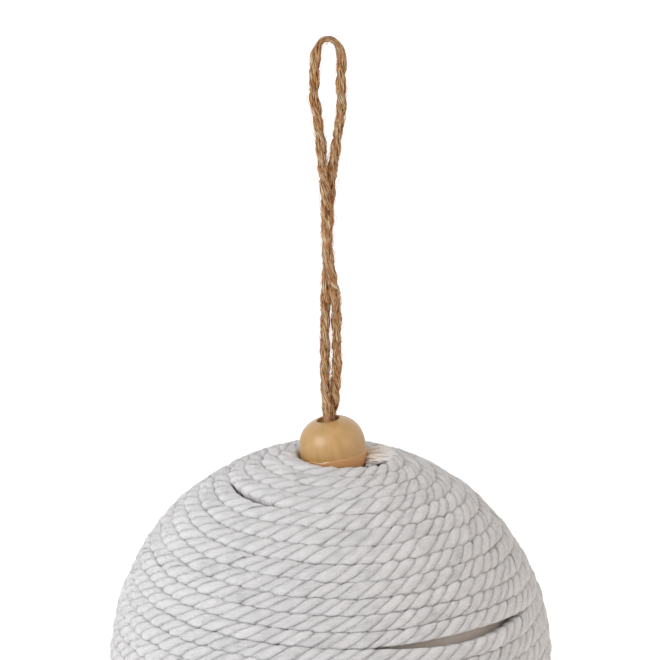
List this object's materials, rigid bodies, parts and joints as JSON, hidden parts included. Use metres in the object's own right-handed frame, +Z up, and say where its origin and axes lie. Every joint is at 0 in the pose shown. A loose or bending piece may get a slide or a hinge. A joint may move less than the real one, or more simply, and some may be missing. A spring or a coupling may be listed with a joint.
{
  "type": "rope-wrapped ball ornament",
  "caption": "Hanging ball ornament: twisted cotton rope wound in a spiral on a foam ball, with a wooden bead on top and a jute twine loop to hang it by.",
  "frame": {"origin": "the point that the ornament hangs from: the underside of the twine at the top of its loop, straight above the middle of the ball", "axes": "+Z up, from the middle of the ball to the hanging point; -Y is the front, which the picture's camera faces; +X to the viewer's right"},
  "size_m": [0.0994, 0.0993, 0.1938],
  "materials": {
    "foam": "moulded expanded foam, matt",
    "cotton_rope": "three-strand twisted cotton, undyed white, soft and matt",
    "bead_wood": "turned beech under clear gloss lacquer",
    "jute": "two-ply natural jute, rough and fibrous",
    "glue": "set hot-melt glue, hidden"
  },
  "bodies": {
    "root": {"foam_core": "foam", "cotton_rope": "cotton_rope", "wooden_bead": "bead_wood", "jute_twine": "jute", "twine_knot": "jute", "glue_plug": "glue"}
  },
  "joints": []
}
